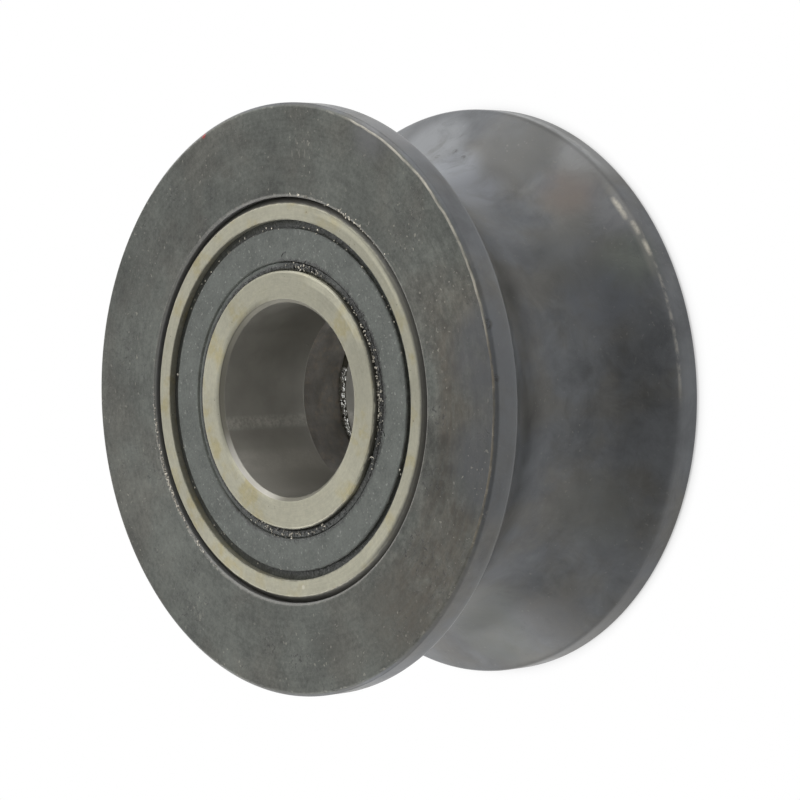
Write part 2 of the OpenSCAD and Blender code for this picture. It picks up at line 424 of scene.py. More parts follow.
class Finish(Wiring):
    """A material under construction. Patterns read Object coordinates, sized in metres."""

    def __init__(self, name, metallic=1.0, specular=0.5):
        self.material = bpy.data.materials.new(name)
        self.material.use_nodes = True
        super().__init__(self.material.node_tree)
        self.shader = self.tree.nodes["Principled BSDF"]
        self.shader.inputs["Metallic"].default_value = metallic
        self.shader.inputs["Specular IOR Level"].default_value = specular
        self.place = self.pattern("ShaderNodeTexCoord", "Object")
        x, y, z = self.node("ShaderNodeSeparateXYZ", {0: self.place}).outputs
        flat = self.pattern("ShaderNodeCombineXYZ", 0, {0: x, 1: y})
        self.z = Pattern(self, z)
        self.outward = self.vector("NORMALIZE", 0, {0: flat})
        self.radius = self.vector("LENGTH", "Value", {0: flat})
        self.base = None
        self.relief = None

    def cloud(self, size, detail=4.0, roughness=0.6, seed=0.0, stretch=(1, 1, 1), distortion=0.0):
        """Noise whose blotches are about size across, around 0.5."""
        shift = (seed * size, seed * size * 0.7, seed * size * 1.3)
        moved = {"Vector": self.place, "Location": shift, "Scale": stretch}
        place = self.pattern("ShaderNodeMapping", 0, moved)
        inputs = {"Vector": place, "Scale": 1 / size, "Detail": detail}
        inputs |= {"Roughness": roughness, "Distortion": distortion}
        return self.pattern("ShaderNodeTexNoise", 0, inputs)

    def lines(self, value, size, detail=3.0, seed=0.0):
        """Fine lines across a value, such as the cuts of a lathe tool along a radius."""
        inputs = {"W": value + seed * size, "Scale": 1 / size, "Detail": detail, "Roughness": 0.7}
        return self.pattern("ShaderNodeTexNoise", 0, inputs, noise_dimensions="1D")

    def swirl(self, across, turns=5.0, detail=3.0, seed=0.0, over=None):
        """Streaks that run round the axis, about across wide over the radius or another value."""
        along = self.vector("SCALE", 0, {0: self.outward, "Scale": turns})
        x, y, _ = self.node("ShaderNodeSeparateXYZ", {0: along}).outputs
        rise = (over or self.radius) / across + seed
        place = self.pattern("ShaderNodeCombineXYZ", 0, {0: x, 1: y, 2: rise})
        inputs = {"Vector": place, "Scale": 1.0, "Detail": detail, "Roughness": 0.65}
        return self.pattern("ShaderNodeTexNoise", 0, inputs)

    def toward(self, degrees, half, fade):
        """1 in a sector round the axis, fading past its two sides."""
        line = (cos(radians(degrees)), sin(radians(degrees)), 0)
        aim = self.vector("DOT_PRODUCT", "Value", {0: self.outward, 1: line})
        return aim.span(cos(radians(min(half + fade, 180))), cos(radians(half)))

    def near(self, degrees, radius, height, reach, fade):
        """1 round a point given by its angle, radius and height, fading over fade."""
        point = (radius * cos(radians(degrees)), radius * sin(radians(degrees)), height)
        away = self.vector("DISTANCE", "Value", {0: self.place, 1: point})
        return away.span(reach, reach + fade, 1.0, 0.0)

    def ring_edge(self, radius, height, reach, fade):
        """1 along the circle at a radius and height, fading over fade."""
        out = self.radius - radius
        up = self.z - height
        away = self.maths("SQRT", out * out + up * up)
        return away.span(reach, reach + fade, 1.0, 0.0)

    def blend(self, share, under, over):
        """Lays one colour over another by a share."""
        under, over = (bare(c) if isinstance(c, Pattern) else (*c, 1.0) for c in (under, over))
        inputs = {MIX_SHARE: share, MIX_UNDER: under, MIX_OVER: over}
        return self.pattern("ShaderNodeMix", MIX_COLOUR, inputs, data_type="RGBA")

    def shade(self, colour_there, factor):
        """Makes a colour lighter or darker by a factor."""
        return self.vector("SCALE", 0, {0: colour_there, "Scale": factor})

    def paint(self, share, colour_there):
        """Lays a colour over what is painted so far."""
        self.base = self.blend(share, self.base, colour_there)

    def lighten(self, amount):
        """Makes what is painted so far lighter by an amount, or darker where it is below 0."""
        self.base = self.shade(self.base, amount + 1.0)

    def raise_by(self, share, height):
        """Adds relief: share times height in metres."""
        rise = share * height
        self.relief = self.relief + rise if self.relief else rise

    def done(self, roughness):
        """Joins colour, roughness and relief to the shader."""
        inputs = {"Base Color": self.base, "Roughness": roughness}
        if self.relief:
            heights = {"Height": self.relief, "Strength": 1.0, "Distance": 1.0}
            inputs["Normal"] = self.pattern("ShaderNodeBump", 0, heights)
        for key, value in inputs.items():
            self.tree.links.new(value.socket, self.shader.inputs[key])
        return self.material


def settings():
    """The scene's groups of sizes and colours."""
    return bpy.context.scene.wheel_look


# degrees, radius and reach in millimetres, and how much lighter the oxide is there
FACE_SPOTS = (
    (291, 33.8, 2.0, 0.16), (115, 29.3, 2.5, 0.12), (60, 34, 3.0, -0.14), (330, 32.5, 3.0, -0.12),
    (283, 32, 3.5, 0.18), (33, 30, 3.0, -0.12), (-6, 31.5, 4.0, -0.08), (132, 29, 2.0, 0.12),
    (250, 32, 4.0, -0.14), (175, 33, 3.5, 0.08), (8, 30.5, 4.5, -0.14), (252, 28.3, 2.2, -0.22),
    (190, 32.7, 1.5, -0.18),
)
# degrees, radius, height and reach in millimetres, the tint and its share; some rows are painted
# highlights
GROOVE_TINTS_AND_HIGHLIGHTS = (
    (-43, 34.5, -11.6, 1.5, (0.135, 0.105, 0.088), 0.6),
    (-64, 35.5, -12.5, 1.6, (0.125, 0.138, 0.118), 0.75),
    (-70, 32.2, -9.0, 2.5, (0.085, 0.094, 0.110), 0.7),
    (-22, 33.0, -9.0, 3.0, (0.125, 0.118, 0.104), 0.5),
    (-158, 30.5, -4.0, 3.0, (0.135, 0.142, 0.132), 0.6),
    (-150, 34.0, -11.5, 2.5, (0.090, 0.084, 0.074), 0.6),
    # the next two rows: a pale blue patch by the notch, partly worn oxide, partly a painted highlight
    (-14, 30.0, -5.0, 3.0, (0.27, 0.285, 0.31), 0.9),
    (-27, 29.3, -3.0, 3.0, (0.185, 0.195, 0.215), 0.7),
    (-168, 33.5, -9.7, 3.5, (0.096, 0.103, 0.090), 0.65),
    # the same patch widened towards 0 degrees, partly worn oxide, partly a painted highlight
    (0, 33.0, -9.6, 3.6, (0.246, 0.256, 0.267), 0.95),
    (-26, 35.0, -12.0, 4.0, (0.070, 0.072, 0.070), 0.62),
    # the next two rows: painted highlights on the tops of the far and the near land
    (-38, 38.0, -15.8, 2.0, (0.18, 0.183, 0.183), 0.9),
    (-30, 38.0, 15.6, 2.0, (0.18, 0.183, 0.19), 0.9),
    (-54, 36.6, -13.5, 0.6, (0.150, 0.150, 0.152), 0.6),
    (-84, 38.0, 16.3, 5.0, (0.098, 0.108, 0.124), 0.6),
    (-104, 38.0, 16.3, 5.0, (0.098, 0.108, 0.122), 0.6),
    (-58, 31.6, -7.8, 2.5, (0.084, 0.086, 0.083), 0.7),
    (-120, 32.0, -9.0, 3.0, (0.112, 0.116, 0.108), 0.6),
)
# degrees, radius, height and reach in millimetres of small dark dents
DENTS = (
    (-10, 32.5, -9, 0.2), (-6, 31.6, -8, 0.1), (-14, 31.9, -8.4, 0.1),
    (-152, 33.9, -11.7, 0.35), (-88, 37.8, 18.3, 0.3), (-78, 37.7, 18.3, 0.4),
)
# degrees, radius and reach in millimetres of the pitted patches on the near face
PIT_PATCHES = (
    (230, 30.4, 2.2), (248, 28.5, 1.6), (264, 27.5, 1.5),
    (170, 31.5, 1.2), (180, 33.5, 1.0), (35, 34, 1.0),
)
# degrees, radius and height in millimetres, and half the sweep of each rub on the far edge
FAR_RUBS = ((-53, 37.35, -14.15, 1.9), (-58.3, 37.7, -14.45, 0.9), (-63, 37.85, -14.6, 1.1))


class BlackenedSteel(Finish):
    """Black oxide on turned steel: dull olive faces, a smoother blue-grey groove, worn edges."""

    def __init__(self, look):
        super().__init__("Blackened turned steel", metallic=0.3)
        self.size, self.tints, self.seat = look.wheel, look.colours, look.bearing.outside
        self.face = self.size.half_width
        self.on_face = abs(self.z).span(self.face - 0.3 * MM, self.face - 0.1 * MM)
        self.patchy = self.cloud(4.5 * MM, detail=6, roughness=0.7, seed=3, distortion=0.5)
        self.grain = self.cloud(0.5 * MM, roughness=0.75, seed=8)
        self.streaks = self.swirl(0.5 * MM)
        self.cut = self.on_face.choose(self.lines(self.z, 0.9 * MM, seed=4), self.streaks)

    def oxide(self):
        """Olive faces and a slate groove, cloudy, with the lathe's cuts showing through."""
        warmth = self.cloud(11 * MM, seed=40).span(0.4, 0.62)
        olive = self.blend(warmth, self.tints.face, self.tints.face_warm)
        slate = self.blend(warmth, self.tints.groove, self.tints.groove_warm)
        tone = self.cloud(17 * MM, detail=5, roughness=0.62).sway(0.17) + 1.0
        tone += self.patchy.sway(0.17)
        tone += self.grain.sway(0.22, 0.25, 0.75) * self.on_face
        tone += self.cut.sway(1.0) * self.on_face.choose(0.02, 0.08)
        tone += self.cloud(7 * MM, roughness=0.55, seed=71, distortion=0.8).sway(0.1, 0.35, 0.65)
        self.base = self.shade(self.blend(self.on_face, slate, olive), tone)

    def face_marks(self):
        """Brown bloom, rubbed strands and lighter and darker spots on the near face."""
        bloom = self.toward(250, 26, 26) * self.radius.band(33 * MM, 3.4 * MM, 2.5 * MM) * self.on_face
        bloom = bloom * self.streaks.span(0.3, 0.6, 0.5, 1.0) * self.patchy.span(0.38, 0.58, 0.35, 1.0)
        self.paint(bloom * 0.8, self.tints.rust)
        strands = self.swirl(1.1 * MM, 16, detail=5, seed=77).sway(0.22)
        self.lighten(strands * (self.toward(262, 32, 20) * self.on_face))
        patches = self.patchy.span(0.35, 0.6, 0.3, 1.0)
        for degrees, radius, reach, amount in FACE_SPOTS:
            spot = self.near(degrees, radius * MM, self.face, reach * MM, 3.5 * MM)
            self.lighten(spot * patches * amount)

    def groove_marks(self):
        """Stains, tints and dents in the groove and on the lands, painted light on the near flank, and
        painted highlights near the notch and on the lands' tops.
        """
        border = (self.patchy - 0.5) * (5 * MM)
        stain = (self.z + border).band(-12.2 * MM, 2.4 * MM, 2.2 * MM) * self.toward(-95, 27, 16)
        self.paint(stain * 0.16, self.tints.soot)
        # Painted light: the near flank just inside the mouth, towards -92 degrees, lies in shade and is
        # painted lighter.
        self.lighten(self.z.band(8.5 * MM, 1.5 * MM, 3.5 * MM) * self.toward(-92, 50, 25) * 0.28)
        patches = self.patchy.span(0.3, 0.6, 0.5, 1.0)
        for degrees, radius, height, reach, tint, share in GROOVE_TINTS_AND_HIGHLIGHTS:
            spot = self.near(degrees, radius * MM, height * MM, reach * MM, 4 * MM)
            self.paint(spot * patches * share, tint)
        for degrees, radius, height, reach in DENTS:
            dent = self.near(degrees, radius * MM, height * MM, reach * MM, 0.5 * MM)
            self.paint(dent * self.grain.span(0.4, 0.55) * 0.8, self.tints.soot)

    def specks_and_pits(self):
        """Light specks, fine scratches and dark pits. Returns the pits."""
        speck = self.cloud(0.5 * MM, detail=1, roughness=0.4, seed=21).span(0.70, 0.75)
        speck = speck * self.cloud(7 * MM, seed=17).span(0.42, 0.6, 0.15, 1.0)
        speck = speck * self.on_face.span(0, 1, 0.25, 1.0)
        pitted = self.cloud(7 * MM, detail=3, seed=13).span(0.5, 0.65, 0.0, 0.7)
        for degrees, radius, reach in PIT_PATCHES:
            pitted |= self.near(degrees, radius * MM, self.face, reach * MM, 1.2 * MM)
        pit = self.cloud(0.6 * MM, roughness=0.7, seed=31).span(0.54, 0.63)
        pit = pit * pitted * self.on_face.span(0, 1, 0.2, 1.0)
        scratch = self.cloud(0.5 * MM, detail=2, roughness=0.4, seed=51, stretch=(0.35, 1.6, 1.0))
        marked = self.near(350, 32 * MM, self.face, 1.2 * MM, 1.0 * MM)
        marked |= self.near(145, 33.4 * MM, self.face, 0.8 * MM, 0.8 * MM)
        scratch = scratch.span(0.58, 0.66, 0.0, 0.5) * marked
        self.paint((speck | scratch) * 0.4, self.tints.worn)
        self.paint(pit * 0.7, self.tints.soot)
        return pit

    def near_edge(self):
        """Shares of the near edge that are rubbed bright, chipped, and worn to tan."""
        ragged = self.swirl(0.8 * MM, 14, detail=4, seed=11)
        wander = (self.swirl(6 * MM, 9, detail=2, seed=3) - 0.5) * (0.35 * MM)
        corner = self.size.radius - self.size.edge_break - 0.02 * MM
        line = (self.radius + wander).band(corner, 0.05 * MM, 0.14 * MM)
        line = line * self.z.span(self.face - 0.35 * MM, self.face - 0.15 * MM)
        bright = line * self.toward(309, 24, 8) * ragged.span(0.35, 0.6, 0.4, 1.0)
        tan = line * self.toward(264, 20, 8) * ragged.span(0.35, 0.6, 0.1, 0.75)
        chips = line * self.cloud(1.6 * MM, detail=5, roughness=0.7, seed=63).span(0.54, 0.62) * 0.3
        return bright | chips, tan

    def far_edge(self, smears):
        """Share of the far mouth edge that is rubbed bare."""
        rim, mouth = self.size.radius, self.size.mouth_half
        rubbed = self.ring_edge(rim - 0.3 * MM, 0.4 * MM - mouth, 0.2 * MM, 0.7 * MM)
        rubbed = rubbed * (self.toward(-58, 8, 5) * 0.12)
        torn = self.cloud(1.3 * MM, detail=5, roughness=0.7, seed=27).span(0.3, 0.65, 0.4, 1.0)
        for degrees, radius, height, half in FAR_RUBS:
            rub = self.ring_edge(radius * MM, height * MM, 0, 0.6 * MM)
            rubbed |= rub * self.toward(degrees, half / 3, half + 1) * torn
        thin = self.ring_edge(rim, -mouth, 0.05 * MM, 0.35 * MM) * self.toward(-76, 12, 8)
        return rubbed, thin * smears.span(0.4, 0.6, 0.0, 0.35)

    def seat_edge(self):
        """Share of the seat's mouth where the tool left a bright burr."""
        edge = self.ring_edge(self.seat + self.size.seat_bevel, self.face, 0.10 * MM, 0.16 * MM)
        torn = self.cloud(0.42 * MM, detail=2, seed=5).span(0.5, 0.6)
        return edge * torn * (self.toward(115, 28, 12) | self.toward(330, 24, 14) * 0.6 | 0.3)

    def wear(self):
        """Bare and tan steel along the edges, and a painted highlight on the far land. Returns the
        share that is bare.
        """
        smears = self.swirl(0.8 * MM, 22, detail=5, seed=23, over=self.z)
        rim = self.size.radius
        # Painted highlight: a pale streak along the top of the far land towards -27 degrees.
        far_land = self.z.band(-15.9 * MM, 0.3 * MM, 0.6 * MM)
        far_land_highlight = far_land * self.radius.span(rim - 0.3 * MM, rim - 0.1 * MM)
        far_land_highlight = far_land_highlight * self.toward(-27, 8, 10) * smears.span(0.35, 0.6, 0.1, 0.4)
        self.paint(far_land_highlight, self.tints.far_land_highlight)
        bright, tan = self.near_edge()
        rubbed, thin = self.far_edge(smears)
        worn = bright | rubbed | thin | self.seat_edge() * 0.8
        self.paint(tan, self.tints.tan)
        self.paint(worn, self.tints.worn)
        return worn

    def finished(self):
        """Paints the layers in order and returns the material."""
        self.oxide()
        self.face_marks()
        self.groove_marks()
        pit = self.specks_and_pits()
        worn = self.wear()
        # Painted light: the seat's wall above the bearings lies in shade and is painted lighter.
        wall = self.radius.band(self.seat + 0.1 * MM, 0.2 * MM, 0.1 * MM)
        wall = wall * self.z.span(self.face - 2 * MM, self.face - 1 * MM)
        self.paint(wall * 0.55, self.tints.seat_wall_light)
        fleck = self.near(20.6, 37.6 * MM, self.face, 0.25 * MM, 0.3 * MM)
        self.paint(fleck * 0.8, self.tints.paint)
        self.raise_by(self.cut * self.on_face.span(0, 1, 0.15, 1.0), 0.010 * MM)
        self.raise_by(self.grain * self.on_face, 0.02 * MM)
        self.raise_by(self.patchy, 0.03 * MM)
        self.raise_by(pit, -0.05 * MM)
        self.raise_by(worn, 0.02 * MM)
        rough = self.on_face.choose(0.33, 0.54) + self.patchy.span(0.3, 0.7, -0.05, 0.07)
        return self.done(worn.choose(rough, 0.38))


class RingSteel(Finish):
    """Ground bearing steel with old oil stains, grease, painted shade and painted highlights at its
    edges, and a honed bore.
    """

    def __init__(self, look):
        super().__init__("Ground ring steel", metallic=0.45)
        self.size, self.tints = look.bearing, look.colours
        self.at = bearing_radii(self.size)
        self.face = self.size.centre + self.size.half_width
        bore, bevel = self.size.bore, self.size.bore_bevel
        self.in_bore = self.radius.span(bore + 0.3 * MM, bore + bevel + 0.05 * MM, 1.0, 0.0)
        self.lead_in = self.radius.band(bore + bevel / 2, bevel * 0.4, 0.1 * MM)
        self.blot = self.cloud(3.2 * MM, seed=2)
        self.fine = self.cloud(0.5 * MM, detail=3, roughness=0.7, seed=6)
        self.ground = self.swirl(0.16 * MM, 7)

    def ground_faces(self):
        """Finely ground faces with yellow oil stains, small nicks and one scar. Returns the nicks."""
        broad = self.cloud(9 * MM, detail=3, roughness=0.5, seed=14)
        oily = self.blot.span(0.46, 0.68) * (self.toward(95, 50, 40) | broad.span(0.4, 0.6))
        steel = self.blend(oily * 0.75, self.tints.ring, self.tints.stain)
        tone = self.fine.sway(0.07, 0.25, 0.75) + 1.0 + self.ground.sway(0.05) + broad.sway(0.07)
        self.base = self.shade(steel, tone)
        nick = self.cloud(0.6 * MM, detail=2, roughness=0.5, seed=9).span(0.71, 0.76)
        self.paint(nick * 0.6, self.tints.nick)
        scar = self.near(184, 24.0 * MM, self.face, 0.15 * MM, 0.25 * MM)
        self.paint(scar * 0.5, self.tints.scar)
        # Lighter towards 185 degrees and a little towards 95 degrees, darker towards 285 degrees.
        self.lighten(
            (self.toward(185, 40, 50) | self.toward(95, 30, 40) * 0.4) * 0.12
            + self.toward(285, 30, 40) * -0.10
        )
        return nick

    def honed_bore(self):
        """Honed grey of the axle bore with cloudy marks, painted highlight bands along it and painted
        shade towards 184 degrees; its bevel is painted dark, with a painted highlight towards 140
        degrees.
        """
        marks = self.cloud(3 * MM, roughness=0.5, seed=33)
        flecks = self.cloud(0.5 * MM, detail=3, roughness=0.7, seed=36)
        # Painted highlights: two flecked bright bands along the bore, towards 102.5 and 129 degrees,
        # with a darker stripe towards 115 degrees between them.
        rubbed = self.toward(102.5, 0.5, 4.5) * flecks.span(0.35, 0.65, 0.1, 0.9)
        rubbed |= self.toward(129, 2, 9) * flecks.span(0.3, 0.7, 0.5, 1.0)
        rubbed = rubbed * marks.span(0.35, 0.6, 0.65, 1.1)
        tone = marks.span(0.3, 0.7, 0.9, 1.1) + rubbed * 0.75 + self.toward(115, 3, 7) * -0.2
        # Painted shade: the bore is darker towards 184 degrees.
        tone = tone * (self.toward(184, 26, 22) * -0.58 + 1.0)
        self.paint(self.in_bore, self.shade(self.tints.bore, tone))
        # Painted shade on the bore's bevel, and a painted highlight on it towards 140 degrees.
        self.paint(self.lead_in * 0.9, self.tints.lead_in)
        self.paint(self.lead_in * self.toward(140, 14, 22) * 0.95, self.tints.bevel_highlight)

    def edge_shade_and_highlights(self):
        """Painted shade and painted highlights along the edges of the bore and of the rings' corners.
        """
        bore = self.size.bore
        uneven = self.radius + (self.blot - 0.5) * (0.8 * MM)
        edge = uneven.span(bore + 0.5 * MM, bore + 1.4 * MM, 1.0, 0.0)
        edge = edge * self.radius.span(bore + 0.35 * MM, bore + 0.5 * MM)
        # Painted shade towards 65 degrees and a painted highlight towards 143 degrees, round the bore's
        # edge.
        edge_light = self.toward(65, 35, 28) * -0.42 + self.toward(143, 14, 16) * 0.25
        self.lighten(edge_light * edge)
        # Painted highlights: thin bright lines near the inner ring's outer edge and inside the outer
        # ring's bevel, towards 318 degrees.
        corner = self.radius.band(self.at["lip_land"] - 0.7 * MM, 0.3 * MM, 0.3 * MM)
        corner |= self.radius.band(self.size.outside - 1.4 * MM, 0.15 * MM, 0.3 * MM)
        self.lighten(corner * self.toward(318, 12, 16) * 0.35)

    def bevel_shade_and_grease(self):
        """Painted shade in the outer bevel, and grease along the seal's edges."""
        where = self.radius + (self.cloud(1.4 * MM, seed=25) - 0.5) * (0.4 * MM)
        on_end = abs(self.z).span(self.face - 1.2 * MM, self.face - 1.0 * MM)
        outside = self.size.outside
        bevel = outside - self.size.outer_bevel
        # Painted shade: the outer ring's bevel, and a band just inside it towards 262 degrees, are
        # painted dark.
        bevel_shade_share = where.span(bevel - 0.1 * MM, bevel + 0.25 * MM) * 0.9
        bevel_shade_share |= where.span(outside - 1.5 * MM, outside - 0.9 * MM) * self.toward(262, 34, 26) * 0.8
        self.paint(bevel_shade_share * on_end, self.tints.bevel_shade)
        rim = where.band(self.at["mouth"], 0.02 * MM, 0.16 * MM)
        lip = where.band(self.at["lip_land"], 0.06 * MM, 0.14 * MM)
        lip = lip * (self.toward(275, 35, 20) | self.toward(185, 25, 20))
        self.paint((rim * 0.5 | lip * 0.8) * on_end, self.tints.grease)

    def finished(self):
        """Paints the layers in order and returns the material."""
        nick = self.ground_faces()
        self.honed_bore()
        self.edge_shade_and_highlights()
        self.bevel_shade_and_grease()
        self.raise_by(self.ground, 0.004 * MM)
        self.raise_by(self.fine, 0.006 * MM)
        self.raise_by(nick, -0.02 * MM)
        rough = self.in_bore.choose(0.42, 0.32) + self.lead_in * 0.2
        return self.done(rough + self.blot.span(0.3, 0.7, -0.05, 0.08))


def seal_rubber(look):
    """Moulded seal rubber, green-grey with dust, black with grease in its creases, with painted shade
    in the channel round it.
    """
    size, tints = look.seal, look.colours
    at = bearing_radii(look.bearing)
    skin = Finish("Seal rubber", metallic=0.0)
    lip_end = at["lip_land"] + size.gap + size.lip
    channel = at["mouth"] - size.channel
    cloud = skin.cloud(2.5 * MM, detail=5, roughness=0.65, seed=4)
    grain = skin.cloud(0.3 * MM, detail=3, roughness=0.7, seed=7)
    uneven = (skin.cloud(1.3 * MM, detail=5, roughness=0.7, seed=18) - 0.5) * (1.6 * MM)
    where = skin.radius + uneven * 0.35
    in_channel = where.span(channel - 0.15 * MM, channel + 0.05 * MM)
    crease = where.band(lip_end - 0.9 * MM, 0.15 * MM, 0.35 * MM)
    smeared = (skin.radius + uneven).span(lip_end, lip_end + 0.5 * MM, 1.0, 0.0)
    sides = skin.toward(275, 38, 22) | skin.toward(344, 10, 12) | skin.toward(185, 40, 20) * 0.7
    smeared = smeared * sides
    # The channel round the seal is painted dark: partly grease, partly painted shade in that recess.
    grease_and_shade = in_channel * 0.7 | crease | smeared
    tone = cloud.sway(0.16) + 1.0 + grain.sway(0.16, 0.25, 0.75)
    skin.base = skin.shade(tints.rubber, tone)
    speck = skin.cloud(0.4 * MM, detail=1, roughness=0.4, seed=15).span(0.66, 0.73)
    smudge = skin.cloud(0.9 * MM, detail=5, roughness=0.75, seed=44).span(0.56, 0.68, 0.0, 0.3)
    smudge = smudge * (skin.toward(330, 40, 30) | skin.toward(150, 20, 25) | 0.3)
    skin.paint(speck * 0.45 | smudge, tints.rubber_dust)
    skin.paint(grease_and_shade * 0.85, tints.grease)
    skin.raise_by(grain, 0.02 * MM)
    skin.raise_by(cloud, 0.04 * MM)
    skin.raise_by(grease_and_shade * skin.cloud(0.6 * MM, detail=3, seed=19), 0.25 * MM)
    return skin.done(grease_and_shade.choose(0.6, 0.25))


def spacer_scale(look):
    """Rough brown scale on the sawn tube, painted lighter all over and lighter still towards 50
    degrees, as painted light in the dark bore.
    """
    tints = look.colours
    skin = Finish("Spacer scale", metallic=0.0)
    scale = skin.cloud(1.2 * MM, detail=6, roughness=0.75, seed=3)
    broad = skin.cloud(4 * MM, detail=3, seed=12)
    rusty = skin.blend(scale.span(0.45, 0.7), tints.spacer, tints.spacer_rust)
    rusty = skin.shade(rusty, broad.span(0.3, 0.7, 0.75, 1.25))
    # Painted light: lighter by a tenth all round and lighter still towards 50 degrees.
    skin.base = skin.shade(rusty, skin.toward(50, 25, 45) * 0.6 + 1.1)
    skin.raise_by(scale, 0.12 * MM)
    return skin.done(scale.span(0.3, 0.7, 0.5, 0.75))


def torn_steel(name, metallic, tint, dull, bright):
    """Small chips of torn steel, from dull to bright."""
    skin = Finish(name, metallic=metallic)
    mixed = skin.cloud(0.4 * MM, detail=2, seed=8)
    skin.base = skin.shade(tint, mixed.span(0.35, 0.65, dull, bright))
    return skin.done(mixed.span(0.3, 0.7, 0.25, 0.45))


def old_grease(look):
    """Black grease with grit in it."""
    skin = Finish("Old grease", metallic=0.0, specular=0.6)
    grit = skin.cloud(0.12 * MM, detail=3, seed=5)
    skin.base = skin.shade(look.colours.grease, grit.span(0.3, 0.7, 0.6, 2.0))
    skin.raise_by(grit, 0.02 * MM)
    return skin.done(grit.span(0.3, 0.7, 0.15, 0.4))


def machine_steel(name, tint, rough, seed):
    """Clean steel for the parts inside the bearings, with faint cloudiness and marks."""
    skin = Finish(name)
    cloud = skin.cloud(1.5 * MM, seed=seed)
    skin.base = skin.shade(tint, cloud.sway(0.08) + 1.0)
    skin.raise_by(skin.cloud(0.2 * MM, detail=2, seed=seed + 5), 0.002 * MM)
    return skin.done(cloud.span(0.3, 0.7, 0.0, 0.08) + rough)


# ---- pieces ----


def bearing_radii(size):
    """Radii that both bearing rings and the seals share."""
    pitch = (size.bore + size.outside) / 2
    reach = size.ball + size.race_play
    race = size.ball + size.race_ease
    outer_shoulder = pitch + size.shoulder
    inner_shoulder = pitch - size.shoulder
    return {
        "race": race,
        "outer_race_centre": pitch + reach - race,
        "inner_race_centre": pitch - reach + race,
        "outer_shoulder": outer_shoulder,
        "inner_shoulder": inner_shoulder,
        "mouth": outer_shoulder + size.mouth_step,
        "lip_land": inner_shoulder - size.lip_step,
    }


def wheel_outline(size, seat_r, rib_half):
    """Outline of the wheel body: bore, seat, face, land, flank and rounded root."""
    soft = size.softening
    root_centre = seat_r + size.root_wall + size.root_radius
    rise = root_centre - size.radius
    slope = atan2(size.mouth_half, rise) - acos(size.root_radius / hypot(rise, size.mouth_half))
    return both_ends([
        (seat_r - size.rib_step, rib_half, soft),
        (seat_r - size.seat_corner, rib_half, 0),
        (seat_r, rib_half + size.seat_corner, 0),
        (seat_r, size.half_width - size.seat_bevel, soft / 2),
        (seat_r + size.seat_bevel, size.half_width, soft / 2),
        (size.radius - size.edge_break, size.half_width, soft),
        (size.radius, size.half_width - size.edge_break, soft),
        (size.radius, size.mouth_half, size.mouth_break),
        *arc(root_centre, size.root_radius, pi - slope, pi),
    ])


def outer_ring_outline(size, seal):
    """Outline of an outer ring, with its seal mouth, snap groove and raceway."""
    at = bearing_radii(size)
    half, soft = size.half_width, size.softening
    pocket = half - size.pocket
    snap = at["mouth"] + size.snap
    end = asin(min(1, race_half(at, "outer") / at["race"]))
    return both_ends([
        (size.outside, half - size.outer_bevel, soft),
        (size.outside - size.outer_bevel, half, soft),
        (at["mouth"], half, soft),
        (at["mouth"], half - seal.bead, 0),
        (snap, half - seal.bead - size.snap / 2, 0),
        (snap, pocket, 0),
        (at["outer_shoulder"], pocket, 0),
        *arc(at["outer_race_centre"], at["race"], end, 0),
    ])


def inner_ring_outline(size):
    """Outline of an inner ring, with its bore, seal land and raceway."""
    at = bearing_radii(size)
    half, soft = size.half_width, size.softening
    end = asin(min(1, race_half(at, "inner") / at["race"]))
    return both_ends([
        (size.bore, half - size.bore_bevel, soft),
        (size.bore + size.bore_bevel, half, soft),
        (at["lip_land"] - size.inner_bevel, half, soft / 2),
        (at["lip_land"], half - size.inner_bevel, soft / 2),
        (at["lip_land"], half - size.pocket, 0),
        (at["inner_shoulder"], half - size.pocket, 0),
        *arc(at["inner_race_centre"], at["race"], pi - end, pi),
    ])


def race_half(at, side):
    """Half the width of a raceway where it meets its shoulder."""
    rise = abs(at[f"{side}_shoulder"] - at[f"{side}_race_centre"])
    return (at["race"] ** 2 - rise ** 2) ** 0.5


def seal_outline(bearing, size):
    """Outline of a seal, from its lip over its flat face to the bead in the snap groove."""
    at = bearing_radii(bearing)
    half, soft, crease = bearing.half_width, size.softening, size.crease
    lip = at["lip_land"] + size.gap
    face = lip + size.lip
    channel = at["mouth"] - size.channel
    snap = at["mouth"] + bearing.snap
    insert_in, insert_out = face + size.inset, channel + size.reach
    insert_front = size.back - size.insert
    depths = [
        (lip, size.sink + 2 * crease, soft),
        (lip + 2 * crease, size.sink + crease, soft),
        (face - 2 * crease, size.sink + crease, soft),
        (face - crease, size.sink + 2 * crease, 0),
        (face, size.sink, soft),
        (channel - crease, size.sink, soft),
        (channel, size.sink + crease, soft),
        (channel, size.bead, 0),
        (at["mouth"], size.bead, 0),
        (snap, size.bead + bearing.snap / 2, 0),
        (snap, size.back, 0),
        (insert_out, size.back, 0),
        (insert_out, insert_front, 0),
        (insert_in, insert_front, 0),
        (insert_in, size.back, 0),
        (lip + 3 * crease, size.back, 0),
        (lip, insert_front, 0),
    ]
    return [(r, half - depth, s) for r, depth, s in depths]


def place_in_seat(bm, side, centre):
    """Puts a bearing piece, made about its own mid plane, in the front or the rear seat."""
    lift(bm, centre)
    if side == "rear":
        turn_over(bm)


class WHEEL_OT_body(bpy.types.Operator):
    """Turns the wheel body and gives it its blackened finish"""

    bl_idname = "wheel.body"
    bl_label = "Wheel body"

    def execute(self, context):
        look = settings()
        rib_half = look.bearing.centre - look.bearing.half_width
        bm = turn(wheel_outline(look.wheel, look.bearing.outside, rib_half))
        finish = BlackenedSteel(look).finished()
        add_piece(bm, "turned_wheel", finish, "wheel", "wheel_body")
        return {"FINISHED"}


